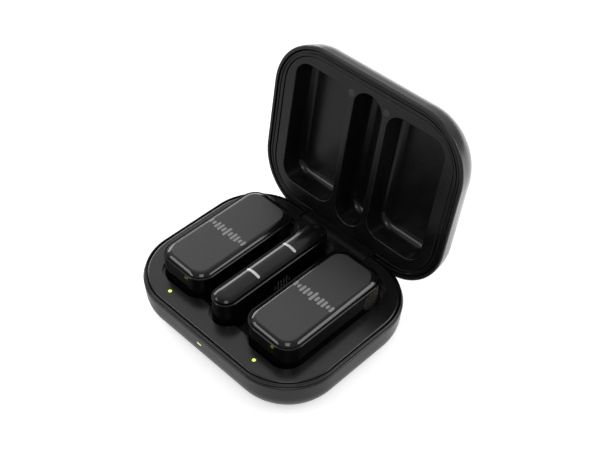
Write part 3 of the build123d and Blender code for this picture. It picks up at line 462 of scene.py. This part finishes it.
def makeCover(side):
    node = f"{side}_transmitter_cover"
    low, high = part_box(node)
    middleX, middleY = (low[0] + high[0]) / 2, (low[1] + high[1]) / 2
    halfWidth, halfLength = (high[0] - low[0]) / 2, (high[1] - low[1]) / 2
    top = high[2] - coverShape["crown"]
    inset, rise, rolled = 0.0, 0.0, [(0.0, 0.0)]
    for tiltStart, tiltEnd, length, steps in coverSlopes:
        for step in range(steps):
            tilt = math.radians(tiltStart + (tiltEnd - tiltStart) * (step + 0.5) / steps)
            inset += length / steps * math.cos(tilt)
            rise += length / steps * math.sin(tilt)
            rolled.append((inset, rise))
    underneath = top - coverShape["depth"]
    sections = [(0.0, underneath), (0.0, (underneath + top - rise) / 2)]
    sections += [(across, top - rise + height) for across, height in rolled]
    rollWidth = inset
    flatWidth = halfWidth - rollWidth
    for ring in range(1, coverShape["crownRings"] + 1):
        share = ring / (coverShape["crownRings"] + 1)
        swell = coverShape["crown"] * (1 - (1 - share) ** 2)
        sections.append((rollWidth + flatWidth * share, top + swell))
    loops = []
    for inset, height in sections:
        radius = max(coverShape["corner"] - inset * coverShape["cornerEasing"], coverShape["smallestCorner"])
        radius = min(radius, (halfWidth - inset) * 0.98)
        outline = roundedOutline(halfWidth - inset, halfLength - inset, radius,
                                 coverShape["cornerSteps"])
        loops.append([(middleX + x, middleY + y, height) for x, y in outline])
    points, faces = stackLoops(loops)
    cover = newPiece(f"{side}_rolled_cover", points, faces, "coverCharcoal", f"{side}_transmitter")
    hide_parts(node)


for side in ("left", "right"):
    makeCover(side)
print("covers rolled")


# plain sound-level bars: a row across each cover, and a smaller one on the receiver's side

barLooks = {
    "cover": dict(count=11, pitch=1.40 * mm, width=0.90 * mm, tallest=3.8 * mm, shortest=1.2 * mm,
                  raised=0.02 * mm, edge=0.06 * mm, shift=-0.5 * mm, ink="paleInk"),
    "receiver": dict(count=6, pitch=1.15 * mm, width=0.60 * mm, tallest=5.2 * mm, shortest=1.6 * mm,
                     raised=0.02 * mm, edge=0.05 * mm, shift=0.7 * mm, below=6.0 * mm, ink="dimInk"),
}
barRhythm = dict(beat=1.9, fade=2.2, sunk=0.01 * mm, shoulder=0.6, endSteps=5)


def levelBars(name, centre, along, upright, outward, look, body):
    parts = []
    for index in range(look["count"]):
        place = index - (look["count"] - 1) / 2
        fading = math.exp(-(place / look["count"] * barRhythm["fade"]) ** 2)
        swing = abs(math.cos(barRhythm["beat"] * place)) * fading
        tall = look["shortest"] + (look["tallest"] - look["shortest"]) * swing
        levels = ((-barRhythm["sunk"], 0.0), (look["raised"] * barRhythm["shoulder"], 0.0),
                  (look["raised"], look["edge"]))
        middle = centre + along * (place * look["pitch"])
        loops = []
        for lift, inset in levels:
            halfWidth = look["width"] / 2 - inset
            outline = roundedOutline(halfWidth, tall / 2 - inset, halfWidth * 0.98, barRhythm["endSteps"])
            loops.append([tuple(middle + along * u + upright * v + outward * lift) for u, v in outline])
        parts.append(stackLoops(loops))
    points, faces = joined(parts)
    newPiece(name, points, faces, look["ink"], body)


eastward, northward, skyward = Vector((1, 0, 0)), Vector((0, 1, 0)), Vector((0, 0, 1))
coverBars, sideBars = barLooks["cover"], barLooks["receiver"]
for side in ("left", "right"):
    low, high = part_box(f"{side}_transmitter_cover")
    centre = Vector(((low[0] + high[0]) / 2, (low[1] + high[1]) / 2 + coverBars["shift"], high[2]))
    levelBars(f"{side}_level_bars", centre, eastward, northward, skyward, coverBars, f"{side}_transmitter")
low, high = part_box("receiver_housing")
centre = Vector((high[0], (low[1] + high[1]) / 2 + sideBars["shift"], high[2] - sideBars["below"]))
levelBars("receiver_level_bars", centre, northward, skyward, eastward, sideBars, "receiver")
print("level bars raised")


# woven bronze mesh round the back end of each transmitter

weave = dict(pitch=0.50 * mm, wire=0.085 * mm, wave=0.055 * mm, sides=4, samples=2, corner=5.05 * mm,
             inset=0.20 * mm, frameWire=0.16 * mm, frameSides=6, frameSteps=60, frameEndSteps=16)


def makeMesh(side):
    node = f"{side}_mic_mesh"
    low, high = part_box(node)
    middleX, middleZ = (low[0] + high[0]) / 2, (low[2] + high[2]) / 2
    halfHeight = (high[2] - low[2]) / 2
    halfWidth = (high[0] - low[0]) / 2 - weave["inset"]
    backY = high[1] - weave["inset"]
    corner, endY = weave["corner"], low[1] + halfHeight
    straight = halfWidth - corner
    turn = corner * math.pi / 2

    def onBand(distance, height, outward):
        # distance runs round the band from the middle of the back
        run, sign = abs(distance), math.copysign(1, distance)
        if run <= straight:
            place, normal = (run, backY), (0.0, 1.0)
        elif run <= straight + turn:
            angle = (run - straight) / corner
            normal = (math.sin(angle), math.cos(angle))
            place = (straight + corner * normal[0], backY - corner + corner * normal[1])
        else:
            place, normal = (halfWidth, backY - corner - (run - straight - turn)), (1.0, 0.0)
        return Vector((middleX + sign * (place[0] + outward * normal[0]),
                       place[1] + outward * normal[1], height))

    def reachAt(height):
        sag = math.sqrt(max(halfHeight ** 2 - (height - middleZ) ** 2, 0.0))
        return straight + turn + (backY - corner) - (endY - sag)

    # wires along the band, each waving over and under the ones across it
    rows = int(2 * halfHeight / weave["pitch"])
    columns = int(2 * reachAt(middleZ) / weave["pitch"])
    parts = []
    for row in range(rows):
        height = middleZ + (row - (rows - 1) / 2) * weave["pitch"]
        reach = reachAt(height)
        steps = int(2 * reach / weave["pitch"] * weave["samples"])
        path = []
        for step in range(steps + 1):
            distance = -reach + 2 * reach * step / steps
            wave = math.cos(math.pi * (distance / weave["pitch"] + row))
            path.append(onBand(distance, height, weave["wave"] * wave))
        parts.append(tubeAlong(path, weave["wire"], weave["sides"]))
    # wires across the band, shorter in its round ends
    for column in range(columns):
        distance = (column - (columns - 1) / 2) * weave["pitch"]
        beyond = abs(distance) - (straight + turn + (backY - corner) - endY)
        tall = halfHeight if beyond <= 0 else math.sqrt(max(halfHeight ** 2 - beyond ** 2, 0.0))
        if tall < weave["pitch"]:
            continue
        steps = int(2 * tall / weave["pitch"] * weave["samples"])
        path = []
        for step in range(steps + 1):
            lift = -tall + 2 * tall * step / steps
            wave = math.cos(math.pi * (lift / weave["pitch"] + column))
            path.append(onBand(distance, middleZ + lift, -weave["wave"] * wave))
        parts.append(tubeAlong(path, weave["wire"], weave["sides"]))
    # the frame: over the top, round one end, back below, and round the other end
    straightRun = straight + turn + (backY - corner) - endY
    endRadius, endSteps = halfHeight - weave["frameWire"], weave["frameEndSteps"]
    rim = []
    for sign in (1, -1):
        for i in range(weave["frameSteps"] + 1):
            distance = -straightRun + 2 * straightRun * i / weave["frameSteps"]
            rim.append(onBand(sign * distance, middleZ + sign * endRadius, 0.0))
        for i in range(1, endSteps):
            angle = math.pi * i / endSteps
            rim.append(onBand(sign * (straightRun + endRadius * math.sin(angle)),
                              middleZ + sign * endRadius * math.cos(angle), 0.0))
    parts.append(tubeAlong(rim, weave["frameWire"], weave["frameSides"], closed=True))
    points, faces = joined(parts)
    mesh = newPiece(f"{side}_woven_mesh", points, faces, "bronzeWire", f"{side}_transmitter")
    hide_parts(node)


for side in ("left", "right"):
    makeMesh(side)
print("meshes woven")


# wound springs in place of the plain rings

springLooks = {
    "hinge_spring": dict(body="lid", wire=0.40 * mm, turns=7, perTurn=20, sides=8),
    "left_clip_spring": dict(body="left_clip", wire=0.25 * mm, turns=7, perTurn=16, sides=6),
    "right_clip_spring": dict(body="right_clip", wire=0.25 * mm, turns=7, perTurn=16, sides=6),
}


def makeSpring(node, look):
    low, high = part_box(node)
    centre = middleOf(node)
    radius = (high[2] - low[2]) / 2 - look["wire"] / 2
    span = (high[0] - low[0]) - look["wire"]
    total = look["turns"] * look["perTurn"]
    path = []
    for step in range(total + 1):
        angle = math.tau * step / look["perTurn"]
        path.append(Vector((centre[0] - span / 2 + span * step / total,
                            centre[1] + radius * math.cos(angle), centre[2] + radius * math.sin(angle))))
    points, faces = tubeAlong(path, look["wire"] / 2, look["sides"])
    spring = newPiece(f"{node}_wound", points, faces, "springWire", look["body"])
    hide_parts(node)


for springNode, springLook in springLooks.items():
    makeSpring(springNode, springLook)
print("springs wound")


# the studio: white paper, a sky that brightens to one side, and four soft boxes

studio = dict(floorSize=3.0, paperFront=0.58, paperBehind=2.2, paperTurn=(0.02, 0.09), paperSeen=0.5,
              paperDark=(0.93, 0.93, 0.93), paperPale=(0.96, 0.96, 0.96), paperTowards=(0.2, 0.98, 0.0),
              skyBright=1.0, skyDim=0.34, skyTurn=(0.45, 0.85), skyTowards=(-0.48, 0.47, 0.74))
softBoxes = [
    dict(name="rightBox", towards=(0.68, 0.54, 0.50), away=0.36, size=(0.24, 0.12), radiance=4.0),
    dict(name="frontBox", towards=(-0.48, -0.70, 0.53), away=0.36, size=(0.24, 0.09), radiance=4.0),
    dict(name="cornerBox", towards=(0.38, -0.38, 0.84), away=0.36, size=(0.12, 0.12), radiance=3.5),
    dict(name="leftBox", towards=(-0.93, 0.18, 0.27), away=0.40, size=(0.30, 0.11), radiance=4.5),
]


def makeFloor():
    half = studio["floorSize"] / 2
    mesh = bpy.data.meshes.new("floor")
    corners = [(-half, -half, 0), (half, -half, 0), (half, half, 0), (-half, half, 0)]
    mesh.from_pydata(corners, [], [(0, 1, 2, 3)])
    floor = bpy.data.objects.new("floor", mesh)
    bpy.context.scene.collection.objects.link(floor)
    paper, tree, shader, place = newFinish("studioPaper")
    fibre = noiseAt(tree, place, 0.02, 3.0, 0.5)
    white = between(tree, fibre, studio["paperDark"], studio["paperPale"])
    tree.links.new(white, shader.inputs["Base Color"])
    shader.inputs["Roughness"].default_value = 0.9
    shader.inputs["Specular IOR Level"].default_value = 0.0
    shader.inputs["Emission Color"].default_value = (1, 1, 1, 1)
    shader.inputs["Emission Strength"].default_value = studio["paperSeen"]
    # what the glossy parts mirror: dim paper in front, bright paper behind
    slope = tree.nodes.new("ShaderNodeVectorMath")
    slope.operation = "DOT_PRODUCT"
    slope.inputs[1].default_value = studio["paperTowards"]
    tree.links.new(place, slope.inputs[0])
    depth = spread(tree, slope.outputs["Value"], *studio["paperTurn"], 0.0, 1.0)
    mirrored = tree.nodes.new("ShaderNodeEmission")
    bright = spread(tree, depth, 0.0, 1.0, studio["paperFront"], studio["paperBehind"])
    tree.links.new(bright, mirrored.inputs["Strength"])
    seen = tree.nodes.new("ShaderNodeLightPath").outputs["Is Camera Ray"]
    choice = tree.nodes.new("ShaderNodeMixShader")
    tree.links.new(seen, choice.inputs[0])
    tree.links.new(mirrored.outputs[0], choice.inputs[1])
    tree.links.new(shader.outputs[0], choice.inputs[2])
    output = next(node for node in tree.nodes if node.type == "OUTPUT_MATERIAL")
    tree.links.new(choice.outputs[0], output.inputs["Surface"])
    mesh.materials.append(paper)


def makeSky():
    world = bpy.data.worlds.new("studioAir")
    bpy.context.scene.world = world
    world.use_nodes = True
    tree = world.node_tree
    air = tree.nodes["Background"]
    air.inputs["Color"].default_value = (1, 1, 1, 1)
    place = tree.nodes.new("ShaderNodeTexCoord").outputs["Generated"]
    facing = tree.nodes.new("ShaderNodeVectorMath")
    facing.operation = "DOT_PRODUCT"
    facing.inputs[1].default_value = studio["skyTowards"]
    tree.links.new(place, facing.inputs[0])
    glow = spread(tree, facing.outputs["Value"], *studio["skyTurn"], studio["skyDim"], studio["skyBright"])
    tree.links.new(glow, air.inputs["Strength"])


makeFloor()
makeSky()
aim = Vector((0, 4.15 * mm, 12.45 * mm))
for lamp in softBoxes:
    data = bpy.data.lights.new(lamp["name"], "AREA")
    data.shape = "RECTANGLE"
    data.size, data.size_y = lamp["size"]
    data.energy = lamp["radiance"] * math.pi * lamp["size"][0] * lamp["size"][1]
    light = bpy.data.objects.new(lamp["name"], data)
    bpy.context.scene.collection.objects.link(light)
    direction = Vector(lamp["towards"]).normalized()
    light.location = aim + direction * lamp["away"]
    light.rotation_mode = "QUATERNION"
    light.rotation_quaternion = direction.to_track_quat("Z", "Y")
    light.visible_camera = False

cameraLook = dict(azimuth=45.43, elevation=47.77, distance=297.5 * mm, lens=58.35, sensor=36.0,
                  shiftX=0.0381, shiftY=0.0885, nearest=0.01, farthest=20.0)
azimuth, elevation = math.radians(cameraLook["azimuth"]), math.radians(cameraLook["elevation"])
back = Vector((math.sin(azimuth) * math.cos(elevation), -math.cos(azimuth) * math.cos(elevation),
               math.sin(elevation)))
cameraData = bpy.data.cameras.new("productCamera")
cameraData.lens = cameraLook["lens"]
cameraData.sensor_width = cameraLook["sensor"]
cameraData.shift_x, cameraData.shift_y = cameraLook["shiftX"], cameraLook["shiftY"]
cameraData.clip_start, cameraData.clip_end = cameraLook["nearest"], cameraLook["farthest"]
camera = bpy.data.objects.new("productCamera", cameraData)
camera.location = aim + back * cameraLook["distance"]
camera.rotation_mode = "QUATERNION"
camera.rotation_quaternion = (-back).to_track_quat("-Z", "Y")
bpy.context.scene.collection.objects.link(camera)
bpy.context.scene.camera = camera
bpy.context.scene.view_settings.view_transform = "Standard"
print("studio ready")
